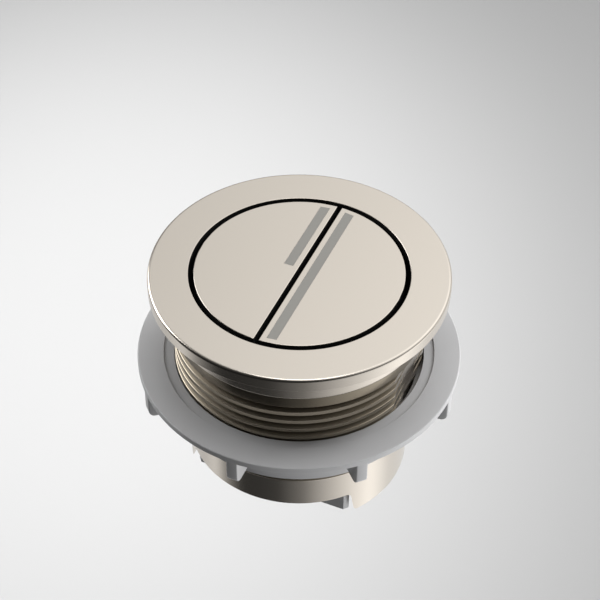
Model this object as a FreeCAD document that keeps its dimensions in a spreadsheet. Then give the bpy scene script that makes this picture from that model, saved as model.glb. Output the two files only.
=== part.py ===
import FreeCAD
import Part
import math
import os
import Sketcher

# Dual flush push button for a cistern lid. Millimetres, +Z up.
# The origin is on the button's axis, in the plane where the bezel sits on the lid.
# The split between the two buttons runs along Y: the half flush button is at -X, the full flush button at +X.

os.makedirs("parts", exist_ok=True)
doc = FreeCAD.newDocument("push_button")

# Driving sizes
SIZES = {
    # buttons: two half-moon caps
    "button_radius": 25.4,
    "slot_width": 1.25,
    "cap_height": 8.0,
    "cap_top_thickness": 1.6,
    "cap_wall": 1.2,
    "cap_edge_chamfer": 0.25,
    "press_travel": 6.0,
    "press_stop_clearance": 0.3,
    "mark_offset": 1.4,
    "mark_width": 2.4,
    "mark_edge_margin": 1.3,
    "mark_thickness": 0.5,
    "mark_clearance": 0.03,
    "half_mark_end": 0.8,
    # bezel: the ring that shows on the lid, with a collar that centres it in the lid's hole
    "button_gap": 1.3,
    "bezel_height": 3.5,
    "bezel_plate": 1.8,
    "bezel_overhang": 4.7,
    "bezel_edge_chamfer": 0.5,
    "opening_edge_chamfer": 0.25,
    "collar_wall": 2.5,
    "collar_length": 7.7,
    # gasket: a flat ring let into the underside of the bezel
    "gasket_inset": 1.2,
    "gasket_width": 2.4,
    "gasket_thickness": 0.9,
    "gasket_clearance": 0.3,
    # threaded body: a tube whose spigot carries the bezel
    "bezel_lip": 0.2,
    "spigot_wall": 2.3,
    "spigot_clearance": 0.1,
    "snap_bead_height": 0.35,
    "snap_bead_slope": 1.5,
    "snap_bead_below_seat": 4.2,
    "neck_gap": 0.5,
    "neck_length": 3.3,
    "stop_ring_clearance": 0.6,
    "stop_ring_height": 3.2,
    # thread: coarse trapezoidal ridge with its two sides cut flat
    "thread_wall": 2.5,
    "thread_depth": 1.5,
    "thread_pitch": 2.8,
    "thread_crest_width": 1.2,
    "thread_flank_width": 0.5,
    "thread_turns": 9,
    "thread_run_in": 0.5,
    "thread_flat_cut": 0.2,
    "ridge_root_sink": 0.4,
    # lower tube with two lobes that reach down at the sides
    "tube_wall": 1.3,
    "tube_shoulder": 1.6,
    "tube_length": 10.1,
    "lobe_drop": 7.3,
    "lobe_reach_top": 6.4,
    "lobe_reach_bottom": 5.2,
    "lobe_corner_round": 1.1,
    "lobe_tip_round": 0.9,
    # clamp nut
    "nut_top_depth": 22.3,
    "nut_flange": 7.9,
    "nut_disc_thickness": 1.7,
    "nut_disc_edge_chamfer": 0.3,
    "nut_recess_rim": 1.3,
    "nut_recess_depth": 0.5,
    "nut_wall": 1.2,
    "nut_height": 13.0,
    "nut_thread_clearance": 0.3,
    "nut_flank_clearance": 0.2,
    "nut_thread_end_margin": 0.3,
    "lug_count": 8,
    "lug_width": 2.3,
    "lug_height": 7.1,
    "lug_corner_round": 2.0,
    "lug_rim_inset": 0.1,
    # guide carrier: plate, two walls, two sleeves, a web and two snap arms that hook into windows
    "carrier_clearance": 0.3,
    "carrier_plate_thickness": 2.0,
    "carrier_wall_offset": 17.6,
    "carrier_wall_thickness": 1.2,
    "carrier_web_thickness": 1.6,
    "carrier_web_height": 14.0,
    "sleeve_wall": 1.3,
    "sleeve_length": 15.0,
    "arm_width": 8.0,
    "arm_thickness": 1.1,
    "arm_inset": 0.2,
    "arm_overrun": 0.6,
    "hook_inset": 0.7,
    "hook_land": 0.8,
    "window_below_carrier": 12.7,
    "window_height": 3.9,
    # plungers
    "plunger_spacing": 12.0,
    "plunger_plate_thickness": 1.6,
    "plunger_edge_clearance": 0.2,
    "stem_radius": 4.2,
    "stem_clearance": 0.3,
    "stem_overrun": 0.3,
    "pin_radius": 1.5,
    "pin_offset": 11.0,
    "pin_overrun": 2.0,
    "peg_radius": 1.4,
    "peg_length": 2.2,
    "peg_offset": 15.5,
    "peg_clearance": 0.1,
    # return springs
    "spring_gap": 2.25,
    "spring_wire": 1.1,
    "spring_turns": 5,
    "spring_end_clearance": 0.25,
    # push rods, lock nuts and tips
    "rod_radius": 2.5,
    "rod_clearance": 0.1,
    "rod_grip": 12.0,
    "rod_overhang": 13.2,
    "lock_nut_flats": 8.0,
    "lock_nut_height": 4.0,
    "tip_radius": 4.0,
    "tip_height": 7.0,
    "tip_edge_chamfer": 0.8,
    "tip_grip": 5.0,
}

# Places and sizes that follow from the driving ones: the radii grow outwards from the buttons
PLACES = {
    "cap_bottom": "=sizes.bezel_height - sizes.cap_height",
    "cap_ceiling": "=sizes.bezel_height - sizes.cap_top_thickness",
    "cap_flat": "=sizes.slot_width / 2",
    "cap_inner_radius": "=sizes.button_radius - sizes.cap_wall",
    "cap_inner_flat": "=cap_flat + sizes.cap_wall",
    "mark_near": "=cap_flat + sizes.mark_offset",
    "mark_far": "=mark_near + sizes.mark_width",
    "mark_radius": "=sizes.button_radius - sizes.mark_edge_margin",
    "plunger_under": "=cap_ceiling - sizes.plunger_plate_thickness",
    "plunger_radius": "=cap_inner_radius - sizes.plunger_edge_clearance",
    "plunger_flat": "=cap_inner_flat + sizes.plunger_edge_clearance",
    "opening_radius": "=sizes.button_radius + sizes.button_gap",
    "bore_radius": "=opening_radius + sizes.bezel_lip",
    "spigot_radius": "=bore_radius + sizes.spigot_wall",
    "socket_radius": "=spigot_radius + sizes.spigot_clearance",
    "collar_radius": "=socket_radius + sizes.collar_wall",
    "bezel_radius": "=collar_radius + sizes.bezel_overhang",
    "bezel_plate_under": "=sizes.bezel_height - sizes.bezel_plate",
    "gasket_inner_radius": "=collar_radius + sizes.gasket_inset",
    "gasket_outer_radius": "=gasket_inner_radius + sizes.gasket_width",
    "bead_middle": "=-sizes.snap_bead_below_seat",
    "bead_top": "=bead_middle + sizes.snap_bead_slope * sizes.snap_bead_height",
    "bead_bottom": "=bead_middle - sizes.snap_bead_slope * sizes.snap_bead_height",
    "stop_ring_radius": "=plunger_radius + sizes.stop_ring_clearance",
    "stop_ring_top": "=cap_bottom - sizes.press_travel - sizes.press_stop_clearance",
    "carrier_seat": "=stop_ring_top - sizes.stop_ring_height",
    "thread_root_radius": "=bore_radius + sizes.thread_wall",
    "thread_crest_radius": "=thread_root_radius + sizes.thread_depth",
    "thread_flat": "=thread_root_radius - sizes.thread_flat_cut",
    "neck_top": "=-(sizes.collar_length + sizes.neck_gap)",
    "thread_top": "=-(sizes.collar_length + sizes.neck_gap + sizes.neck_length)",
    "ridge_half_crest": "=sizes.thread_crest_width / 2",
    "ridge_half_root": "=sizes.thread_crest_width / 2 + sizes.thread_flank_width",
    "ridge_top": "=thread_top - sizes.thread_run_in - ridge_half_root",
    "ridge_start": "=ridge_top - sizes.thread_turns * sizes.thread_pitch",
    "thread_bottom": "=ridge_start - ridge_half_root",
    "tube_radius": "=bore_radius + sizes.tube_wall",
    "short_wall_end": "=thread_bottom - sizes.tube_length",
    "lobe_end": "=short_wall_end - sizes.lobe_drop",
    "lobe_half_gap_top": "=tube_radius - sizes.lobe_reach_top",
    "lobe_half_gap_bottom": "=tube_radius - sizes.lobe_reach_bottom",
    "window_top": "=carrier_seat - sizes.window_below_carrier",
    "window_bottom": "=window_top - sizes.window_height",
    "window_half_width": "=sizes.arm_width / 2 + sizes.carrier_clearance",
    "nut_top": "=-sizes.nut_top_depth",
    "nut_bottom": "=nut_top - sizes.nut_height",
    "nut_bore_radius": "=thread_crest_radius + sizes.nut_thread_clearance",
    "nut_ridge_radius": "=thread_root_radius + sizes.nut_thread_clearance",
    "nut_hub_radius": "=nut_bore_radius + sizes.nut_wall",
    "nut_disc_radius": "=nut_hub_radius + sizes.nut_flange",
    "nut_recess_radius": "=nut_hub_radius + sizes.nut_recess_rim",
    "nut_bore_top": "=nut_top - sizes.nut_recess_depth",
    # half width of the nut's ridge: the body's groove less the flank clearance
    "groove_half_root": "=(sizes.thread_pitch - 2 * ridge_half_root) / 2",
    "flank_slope": "=sizes.thread_flank_width / sizes.thread_depth",
    "groove_half_at_ridge": "=groove_half_root + flank_slope * sizes.nut_thread_clearance",
    "nut_half_crest": "=groove_half_at_ridge - sizes.nut_flank_clearance",
    "nut_half_root": "=nut_half_crest + flank_slope * (nut_bore_radius - nut_ridge_radius)",
    # the nut's ridge starts in the lowest groove of the body that lies inside the nut
    "nut_lowest": "=nut_bottom + sizes.nut_thread_end_margin + nut_half_root",
    "nut_groove": "=ceil((nut_lowest - ridge_start) / sizes.thread_pitch - 0.5) + 0.5",
    "nut_ridge_start": "=ridge_start + nut_groove * sizes.thread_pitch",
    "nut_highest": "=nut_bore_top - sizes.nut_thread_end_margin - nut_half_root",
    "nut_turns": "=(nut_highest - nut_ridge_start) / sizes.thread_pitch",
    "nut_disc_under": "=nut_top - sizes.nut_disc_thickness",
    "nut_hub_middle": "=(nut_bore_radius + nut_hub_radius) / 2",
    "lug_outer_radius": "=nut_disc_radius - sizes.lug_rim_inset",
    "lug_bottom": "=nut_disc_under - sizes.lug_height",
    "carrier_radius": "=bore_radius - sizes.carrier_clearance",
    "carrier_plate_under": "=carrier_seat - sizes.carrier_plate_thickness",
    "carrier_plate_middle": "=carrier_seat - sizes.carrier_plate_thickness / 2",
    "sleeve_bore_radius": "=sizes.stem_radius + sizes.stem_clearance",
    "sleeve_radius": "=sleeve_bore_radius + sizes.sleeve_wall",
    "sleeve_bottom": "=carrier_seat - sizes.sleeve_length",
    "wall_inner": "=sizes.carrier_wall_offset - sizes.carrier_wall_thickness",
    "wall_middle": "=sizes.carrier_wall_offset - sizes.carrier_wall_thickness / 2",
    "arm_outer": "=carrier_radius - sizes.arm_inset",
    "hook_outer": "=thread_flat - sizes.hook_inset",
    "hook_bottom": "=window_bottom + sizes.carrier_clearance",
    "hook_top": "=window_top - sizes.carrier_clearance",
    "arm_bottom": "=hook_bottom - sizes.arm_overrun",
    "stem_bottom": "=sleeve_bottom - sizes.stem_overrun",
    "peg_hole_radius": "=sizes.peg_radius + sizes.peg_clearance",
    "pin_bottom": "=carrier_plate_under - sizes.pin_overrun",
    "pin_hole_radius": "=sizes.pin_radius + sizes.stem_clearance",
    "spring_mean_radius": "=sizes.stem_radius + sizes.spring_gap + sizes.spring_wire / 2",
    "spring_bottom": "=carrier_seat + sizes.spring_end_clearance + sizes.spring_wire / 2",
    "spring_top": "=plunger_under - sizes.spring_end_clearance - sizes.spring_wire / 2",
    "rod_bore_radius": "=sizes.rod_radius + sizes.rod_clearance",
    "rod_top": "=stem_bottom + sizes.rod_grip",
    "tip_bottom": "=lobe_end - sizes.rod_overhang",
    "tip_top": "=tip_bottom + sizes.tip_height",
    "rod_bottom": "=tip_top - sizes.tip_grip",
}


def fill_sheet(name, cells):
    """One row per value: its name in column A, its number or formula in column B, with the name as alias."""
    sheet = doc.addObject("Spreadsheet::Sheet", name)
    for row, (alias, content) in enumerate(cells.items(), start=1):
        sheet.set(f"A{row}", alias)
        sheet.set(f"B{row}", str(content))
        sheet.setAlias(f"B{row}", alias)
    return sheet


sizes = fill_sheet("sizes", SIZES)
doc.recompute()
places = fill_sheet("places", PLACES)
doc.recompute()


def number(expression):
    """The value of an expression on the two sheets, for the first guess of a sketch and for finding edges."""
    return float(sizes.evalExpression(expression))


def new_body(label):
    """An empty body at the object's own origin; its label names the file."""
    body = doc.addObject("PartDesign::Body", label)
    body.Label = label
    body.Placement = FreeCAD.Placement()
    return body


def new_sketch(body, role, height="0"):
    """A sketch on one of the body's own origin planes, moved along the plane's normal by height."""
    plane = [feature for feature in body.Origin.OriginFeatures if feature.Role == role][0]
    sketch = body.newObject("Sketcher::SketchObject", body.Label + "_sketch")
    sketch.AttachmentSupport = [(plane, "")]
    sketch.MapMode = "FlatFace"
    sketch.setExpression("AttachmentOffset.Base.z", height)
    return sketch


def bind(sketch, kind, geometry, point, value, expression):
    """Hold one point's distance from the sketch's origin to an expression."""
    index = sketch.addConstraint(Sketcher.Constraint(kind, -1, 1, geometry, point, value))
    sketch.setExpression(f"Constraints[{index}]", expression)


def bind_radius(sketch, geometry, radius):
    """Hold the radius of a circle or an arc to an expression."""
    index = sketch.addConstraint(Sketcher.Constraint("Radius", geometry, number(radius)))
    sketch.setExpression(f"Constraints[{index}]", radius)


def polygon(sketch, corners):
    """A closed outline of straight sides, every corner held by two expressions."""
    points = [FreeCAD.Vector(number(across), number(up), 0) for across, up in corners]
    first = sketch.GeometryCount
    count = len(points)
    for k in range(count):
        sketch.addGeometry(Part.LineSegment(points[k], points[(k + 1) % count]), False)
    for k in range(count):
        sketch.addConstraint(Sketcher.Constraint("Coincident", first + k, 2, first + (k + 1) % count, 1))
    for k, (across, up) in enumerate(corners):
        bind(sketch, "DistanceX", first + k, 1, points[k].x, across)
        bind(sketch, "DistanceY", first + k, 1, points[k].y, up)


def rectangle(sketch, left, right, low, high):
    """A rectangle between two distances across and two up."""
    polygon(sketch, [(left, low), (right, low), (right, high), (left, high)])


def rounded_rectangle(sketch, left, right, low, high, radius):
    """A rectangle whose corner at the right and low side is rounded."""
    x, y, r = number(right), number(low), number(radius)
    centre = FreeCAD.Vector(x - r, y + r, 0)
    corners = [
        FreeCAD.Vector(x, y + r, 0),
        FreeCAD.Vector(x, number(high), 0),
        FreeCAD.Vector(number(left), number(high), 0),
        FreeCAD.Vector(number(left), y, 0),
        FreeCAD.Vector(x - r, y, 0),
    ]
    sides = [sketch.addGeometry(Part.LineSegment(a, b), False) for a, b in zip(corners, corners[1:])]
    rim = Part.Circle(centre, FreeCAD.Vector(0, 0, 1), r)
    arc = sketch.addGeometry(Part.ArcOfCircle(rim, -math.pi / 2, 0), False)
    for k in range(3):
        sketch.addConstraint(Sketcher.Constraint("Coincident", sides[k], 2, sides[k + 1], 1))
    sketch.addConstraint(Sketcher.Constraint("Tangent", sides[3], 2, arc, 1))
    sketch.addConstraint(Sketcher.Constraint("Tangent", arc, 2, sides[0], 1))
    sketch.addConstraint(Sketcher.Constraint("Vertical", sides[0]))
    sketch.addConstraint(Sketcher.Constraint("Horizontal", sides[1]))
    sketch.addConstraint(Sketcher.Constraint("Vertical", sides[2]))
    sketch.addConstraint(Sketcher.Constraint("Horizontal", sides[3]))
    bind_radius(sketch, arc, radius)
    bind(sketch, "DistanceX", sides[0], 2, x, right)
    bind(sketch, "DistanceY", sides[0], 2, number(high), high)
    bind(sketch, "DistanceX", sides[2], 2, number(left), left)
    bind(sketch, "DistanceY", sides[2], 2, y, low)


def circle(sketch, radius, across="0", up="0"):
    """A circle about a point that two expressions place."""
    centre = FreeCAD.Vector(number(across), number(up), 0)
    index = sketch.addGeometry(Part.Circle(centre, FreeCAD.Vector(0, 0, 1), number(radius)), False)
    bind(sketch, "DistanceX", index, 3, centre.x, across)
    bind(sketch, "DistanceY", index, 3, centre.y, up)
    bind_radius(sketch, index, radius)


def half_moon(sketch, radius, flat):
    """The part of a circle about the origin that lies beyond a straight side at +X."""
    reach, side = number(radius), number(flat)
    angle = math.acos(side / reach)
    rim = Part.Circle(FreeCAD.Vector(0, 0, 0), FreeCAD.Vector(0, 0, 1), reach)
    arc = sketch.addGeometry(Part.ArcOfCircle(rim, -angle, angle), False)
    low = FreeCAD.Vector(side, -reach * math.sin(angle), 0)
    high = FreeCAD.Vector(side, reach * math.sin(angle), 0)
    line = sketch.addGeometry(Part.LineSegment(high, low), False)
    sketch.addConstraint(Sketcher.Constraint("Coincident", arc, 3, -1, 1))
    sketch.addConstraint(Sketcher.Constraint("Coincident", arc, 2, line, 1))
    sketch.addConstraint(Sketcher.Constraint("Coincident", line, 2, arc, 1))
    sketch.addConstraint(Sketcher.Constraint("Vertical", line))
    bind_radius(sketch, arc, radius)
    bind(sketch, "DistanceX", line, 1, side, flat)


def strip(sketch, radius, near, far):
    """A strip between two chords of a circle, both at +Y and parallel to X; its ends lie on the circle."""
    reach, inner, outer = number(radius), number(near), number(far)
    low, high = math.asin(inner / reach), math.asin(outer / reach)
    rim = Part.Circle(FreeCAD.Vector(0, 0, 0), FreeCAD.Vector(0, 0, 1), reach)
    right = sketch.addGeometry(Part.ArcOfCircle(rim, low, high), False)
    left = sketch.addGeometry(Part.ArcOfCircle(rim, math.pi - high, math.pi - low), False)
    turns = (low, high, math.pi - high, math.pi - low)
    ends = [FreeCAD.Vector(reach * math.cos(turn), reach * math.sin(turn), 0) for turn in turns]
    top = sketch.addGeometry(Part.LineSegment(ends[1], ends[2]), False)
    bottom = sketch.addGeometry(Part.LineSegment(ends[3], ends[0]), False)
    for arc in (right, left):
        sketch.addConstraint(Sketcher.Constraint("Coincident", arc, 3, -1, 1))
    sketch.addConstraint(Sketcher.Constraint("Coincident", right, 2, top, 1))
    sketch.addConstraint(Sketcher.Constraint("Coincident", top, 2, left, 1))
    sketch.addConstraint(Sketcher.Constraint("Coincident", left, 2, bottom, 1))
    sketch.addConstraint(Sketcher.Constraint("Coincident", bottom, 2, right, 1))
    sketch.addConstraint(Sketcher.Constraint("Horizontal", top))
    sketch.addConstraint(Sketcher.Constraint("Horizontal", bottom))
    sketch.addConstraint(Sketcher.Constraint("Equal", right, left))
    bind_radius(sketch, right, radius)
    bind(sketch, "DistanceY", top, 1, outer, far)
    bind(sketch, "DistanceY", bottom, 1, inner, near)


def revolve(body, corners):
    """Turn an outline of radii and heights about Z."""
    sketch = new_sketch(body, "XZ_Plane")
    polygon(sketch, corners)
    turned = body.newObject("PartDesign::Revolution", body.Label + "_turned")
    turned.Profile = sketch
    turned.ReferenceAxis = (sketch, ["V_Axis"])
    turned.Angle = 360
    doc.recompute()
    return turned


def grown(body, feature, before):
    """Stop the script where a feature left the body's volume as it was."""
    doc.recompute()
    if abs(body.Shape.Volume - before) < 1e-3:
        raise RuntimeError(feature.Name + " changed nothing")
    return feature


def volume_of(body):
    """The body's volume so far; an empty body has none."""
    return 0.0 if body.Shape.isNull() else body.Shape.Volume


def pad(body, sketch, length, reverse=False):
    """Add the sketch's outline along its plane's normal, or against it."""
    before = volume_of(body)
    added = body.newObject("PartDesign::Pad", body.Label + "_pad")
    added.Profile = sketch
    added.Reversed = reverse
    added.setExpression("Length", length)
    return grown(body, added, before)


def pad_down(body, sketch, length):
    """Add the outline of a level sketch downwards."""
    return pad(body, sketch, length, reverse=True)


def pocket_down(body, sketch, length):
    """Cut the sketch's outline downwards from its plane."""
    before = volume_of(body)
    pocket = body.newObject("PartDesign::Pocket", body.Label + "_pocket")
    pocket.Profile = sketch
    pocket.setExpression("Length", length)
    return grown(body, pocket, before)


def pocket_through(body, sketch):
    """Cut the sketch's outline through the whole body, both ways from its plane."""
    before = volume_of(body)
    pocket = body.newObject("PartDesign::Pocket", body.Label + "_cut")
    pocket.Profile = sketch
    pocket.SideType = "Symmetric"
    pocket.Type = "ThroughAll"
    return grown(body, pocket, before)


def wind(body, sketch, turns, pitch):
    """Carry the sketch's outline up a right-handed helix about Z."""
    before = volume_of(body)
    helix = body.newObject("PartDesign::AdditiveHelix", body.Label + "_helix")
    helix.Profile = sketch
    helix.ReferenceAxis = (sketch, ["V_Axis"])
    helix.Mode = "pitch-turns-angle"
    helix.setExpression("Pitch", pitch)
    helix.setExpression("Turns", turns)
    helix.LeftHanded = False
    return grown(body, helix, before)


def copy_round(body, feature, count):
    """Repeat a feature evenly about Z."""
    before = volume_of(body)
    axis = [item for item in body.Origin.OriginFeatures if item.Role == "Z_Axis"][0]
    pattern = body.newObject("PartDesign::PolarPattern", body.Label + "_pattern")
    pattern.Originals = [feature]
    pattern.Axis = (axis, [""])
    pattern.Angle = 360
    pattern.setExpression("Occurrences", count)
    body.Tip = pattern
    return grown(body, pattern, before)


def chosen_edges(feature, test):
    """The feature's edges that pass the test, by name."""
    return [f"Edge{k + 1}" for k, edge in enumerate(feature.Shape.Edges) if test(edge)]


def round_edges(body, feature, test, radius):
    """Round the edges of the feature that pass the test."""
    before = volume_of(body)
    fillet = body.newObject("PartDesign::Fillet", body.Label + "_round")
    fillet.Base = (feature, chosen_edges(feature, test))
    fillet.setExpression("Radius", radius)
    return grown(body, fillet, before)


def bevel_edges(body, feature, test, size):
    """Break the edges of the feature that pass the test with a small chamfer."""
    before = volume_of(body)
    chamfer = body.newObject("PartDesign::Chamfer", body.Label + "_bevel")
    chamfer.Base = (feature, chosen_edges(feature, test))
    chamfer.setExpression("Size", size)
    return grown(body, chamfer, before)


def ring_at(radius, height):
    """A test for edges that run round Z at a radius and a height, whole or in part."""
    reach, level = number(radius), number(height)

    def test(edge):
        middle = edge.valueAt((edge.FirstParameter + edge.LastParameter) / 2)
        flat = edge.BoundBox.ZLength < 1e-4
        return flat and abs(middle.z - level) < 1e-3 and abs(math.hypot(middle.x, middle.y) - reach) < 1e-3

    return test


def edge_above(height):
    """A test for edges that lie wholly at a height."""
    level = number(height)
    return lambda edge: abs(edge.BoundBox.ZMin - level) < 1e-3


# Bezel: a turned ring with a groove for the gasket and a collar that snaps over the body's spigot
bezel = new_body("bezel")
bezel_ring = revolve(bezel, [
    ("places.opening_radius", "sizes.bezel_height"),
    ("places.opening_radius", "places.bezel_plate_under"),
    ("places.socket_radius", "places.bezel_plate_under"),
    ("places.socket_radius", "places.bead_top"),
    ("places.socket_radius + sizes.snap_bead_height", "places.bead_middle"),
    ("places.socket_radius", "places.bead_bottom"),
    ("places.socket_radius", "-sizes.collar_length"),
    ("places.collar_radius", "-sizes.collar_length"),
    ("places.collar_radius", "0"),
    ("places.gasket_inner_radius - sizes.gasket_clearance", "0"),
    ("places.gasket_inner_radius - sizes.gasket_clearance", "sizes.gasket_thickness"),
    ("places.gasket_outer_radius + sizes.gasket_clearance", "sizes.gasket_thickness"),
    ("places.gasket_outer_radius + sizes.gasket_clearance", "0"),
    ("places.bezel_radius", "0"),
    ("places.bezel_radius", "sizes.bezel_height"),
])
bezel_rim = ring_at("places.bezel_radius", "sizes.bezel_height")
bezel_mouth = ring_at("places.opening_radius", "sizes.bezel_height")
rimmed = bevel_edges(bezel, bezel_ring, bezel_rim, "sizes.bezel_edge_chamfer")
bevel_edges(bezel, rimmed, bezel_mouth, "sizes.opening_edge_chamfer")

# Gasket: a flat rubber ring, drawn pressed flush with the underside of the bezel
gasket = new_body("lid_gasket")
revolve(gasket, [
    ("places.gasket_inner_radius", "0"),
    ("places.gasket_outer_radius", "0"),
    ("places.gasket_outer_radius", "sizes.gasket_thickness"),
    ("places.gasket_inner_radius", "sizes.gasket_thickness"),
])

# Threaded body: spigot, neck, threaded length, lower tube and an inner ring that stops the carrier
threaded = new_body("threaded_body")
revolve(threaded, [
    ("places.bore_radius", "places.bezel_plate_under"),
    ("places.spigot_radius", "places.bezel_plate_under"),
    ("places.spigot_radius", "places.bead_top"),
    ("places.spigot_radius + sizes.snap_bead_height", "places.bead_middle"),
    ("places.spigot_radius", "places.bead_bottom"),
    ("places.spigot_radius", "places.neck_top"),
    ("places.thread_crest_radius", "places.neck_top"),
    ("places.thread_crest_radius", "places.thread_top"),
    ("places.thread_root_radius", "places.thread_top"),
    ("places.thread_root_radius", "places.thread_bottom"),
    ("places.tube_radius", "places.thread_bottom - sizes.tube_shoulder"),
    ("places.tube_radius", "places.lobe_end"),
    ("places.bore_radius", "places.lobe_end"),
    ("places.bore_radius", "places.carrier_seat"),
    ("places.stop_ring_radius", "places.carrier_seat"),
    ("places.stop_ring_radius", "places.stop_ring_top"),
    ("places.bore_radius", "places.stop_ring_top"),
])
ridge = new_sketch(threaded, "XZ_Plane")
polygon(ridge, [
    ("places.thread_root_radius - sizes.ridge_root_sink", "places.ridge_start - places.ridge_half_root"),
    ("places.thread_root_radius", "places.ridge_start - places.ridge_half_root"),
    ("places.thread_crest_radius", "places.ridge_start - places.ridge_half_crest"),
    ("places.thread_crest_radius", "places.ridge_start + places.ridge_half_crest"),
    ("places.thread_root_radius", "places.ridge_start + places.ridge_half_root"),
    ("places.thread_root_radius - sizes.ridge_root_sink", "places.ridge_start + places.ridge_half_root"),
])
wind(threaded, ridge, "sizes.thread_turns", "sizes.thread_pitch")

# The thread's two flats, where the mould parts, and the snap windows in them
flats = new_sketch(threaded, "XY_Plane", "places.thread_top")
beyond = "2 * places.thread_crest_radius"
back, front = "places.thread_crest_radius", "-places.thread_crest_radius"
rectangle(flats, "places.thread_flat", beyond, front, back)
rectangle(flats, "-" + beyond, "-places.thread_flat", front, back)
pocket_down(threaded, flats, "places.thread_top - places.thread_bottom")
windows = new_sketch(threaded, "YZ_Plane")
rectangle(windows, "-places.window_half_width", "places.window_half_width",
          "places.window_bottom", "places.window_top")
pocket_through(threaded, windows)

# Front and back are cut short, which leaves the two lobes; their edges lean outwards as they go down
gap = new_sketch(threaded, "XZ_Plane")
polygon(gap, [
    ("-places.lobe_half_gap_top", "places.short_wall_end"),
    ("places.lobe_half_gap_top", "places.short_wall_end"),
    ("places.lobe_half_gap_bottom", "places.lobe_end"),
    ("places.lobe_half_gap_bottom", "places.lobe_end - sizes.lobe_drop"),
    ("-places.lobe_half_gap_bottom", "places.lobe_end - sizes.lobe_drop"),
    ("-places.lobe_half_gap_bottom", "places.lobe_end"),
])
lobes = pocket_through(threaded, gap)


def edge_along_y(across, up):
    """A test for edges that run along Y at a distance across, on either side, and a height."""
    reach, level = number(across), number(up)

    def test(edge):
        box = edge.BoundBox
        thin = box.XLength < 1e-3 and box.ZLength < 1e-3
        return thin and abs(abs(box.Center.x) - reach) < 1e-3 and abs(box.Center.z - level) < 1e-3

    return test


inner_corners = edge_along_y("places.lobe_half_gap_top", "places.short_wall_end")
lobe_tips = edge_along_y("places.lobe_half_gap_bottom", "places.lobe_end")
cornered = round_edges(threaded, lobes, inner_corners, "sizes.lobe_corner_round")
round_edges(threaded, cornered, lobe_tips, "sizes.lobe_tip_round")

# Clamp nut: disc with a shallow recess, hub, inner thread in the body's groove, and lugs to turn it by,
# which stand as ribs between the disc and the hub, with their outer lower corners rounded
nut = new_body("clamp_nut")
nut_turned = revolve(nut, [
    ("places.nut_recess_radius", "places.nut_top"),
    ("places.nut_disc_radius", "places.nut_top"),
    ("places.nut_disc_radius", "places.nut_disc_under"),
    ("places.nut_hub_radius", "places.nut_disc_under"),
    ("places.nut_hub_radius", "places.nut_bottom"),
    ("places.nut_bore_radius", "places.nut_bottom"),
    ("places.nut_bore_radius", "places.nut_bore_top"),
    ("places.nut_recess_radius", "places.nut_bore_top"),
])
nut_rim = ring_at("places.nut_disc_radius", "places.nut_top")
bevel_edges(nut, nut_turned, nut_rim, "sizes.nut_disc_edge_chamfer")
lug_sketch = new_sketch(nut, "XZ_Plane", "-sizes.lug_width / 2")
rounded_rectangle(lug_sketch, "places.nut_hub_middle", "places.lug_outer_radius",
                  "places.lug_bottom", "places.nut_disc_under", "sizes.lug_corner_round")
lug = pad(nut, lug_sketch, "sizes.lug_width")
copy_round(nut, lug, "sizes.lug_count")
nut_ridge = new_sketch(nut, "XZ_Plane")
polygon(nut_ridge, [
    ("places.nut_hub_middle", "places.nut_ridge_start - places.nut_half_root"),
    ("places.nut_bore_radius", "places.nut_ridge_start - places.nut_half_root"),
    ("places.nut_ridge_radius", "places.nut_ridge_start - places.nut_half_crest"),
    ("places.nut_ridge_radius", "places.nut_ridge_start + places.nut_half_crest"),
    ("places.nut_bore_radius", "places.nut_ridge_start + places.nut_half_root"),
    ("places.nut_hub_middle", "places.nut_ridge_start + places.nut_half_root"),
])
wind(nut, nut_ridge, "places.nut_turns", "sizes.thread_pitch")

# Guide carrier: plate under the stop ring, sleeves for the plungers, two long walls, a web and two snap arms
carrier = new_body("guide_carrier")
plate = new_sketch(carrier, "XY_Plane", "places.carrier_seat")
circle(plate, "places.carrier_radius")
pad_down(carrier, plate, "sizes.carrier_plate_thickness")
for side in ("", "-"):
    sleeve = new_sketch(carrier, "XY_Plane", "places.carrier_seat")
    circle(sleeve, "places.sleeve_radius", side + "sizes.plunger_spacing")
    pad_down(carrier, sleeve, "sizes.sleeve_length")
wall = new_sketch(carrier, "XY_Plane", "places.carrier_plate_middle")
strip(wall, "places.carrier_radius", "places.wall_inner", "sizes.carrier_wall_offset")
back_wall = pad_down(carrier, wall, "places.carrier_plate_middle - places.lobe_end")
copy_round(carrier, back_wall, "2")
web = new_sketch(carrier, "XY_Plane", "places.carrier_plate_middle")
rectangle(web, "-sizes.carrier_web_thickness / 2", "sizes.carrier_web_thickness / 2",
          "-places.wall_middle", "places.wall_middle")
pad_down(carrier, web, "sizes.carrier_web_height")
holes = new_sketch(carrier, "XY_Plane", "places.carrier_seat")
for side in ("", "-"):
    circle(holes, "places.sleeve_bore_radius", side + "sizes.plunger_spacing")
    for end in ("", "-"):
        circle(holes, "places.pin_hole_radius", side + "sizes.plunger_spacing", end + "sizes.pin_offset")
pocket_down(carrier, holes, "2 * sizes.sleeve_length")
arm = new_sketch(carrier, "XZ_Plane", "-sizes.arm_width / 2")
polygon(arm, [
    ("places.arm_outer - sizes.arm_thickness", "places.carrier_plate_middle"),
    ("places.arm_outer - sizes.arm_thickness", "places.arm_bottom"),
    ("places.arm_outer", "places.arm_bottom"),
    ("places.arm_outer", "places.hook_bottom"),
    ("places.hook_outer", "places.hook_bottom"),
    ("places.hook_outer", "places.hook_bottom + sizes.hook_land"),
    ("places.arm_outer", "places.hook_top"),
    ("places.arm_outer", "places.carrier_plate_middle"),
])
copy_round(carrier, pad(carrier, arm, "sizes.arm_width"), "2")


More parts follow.
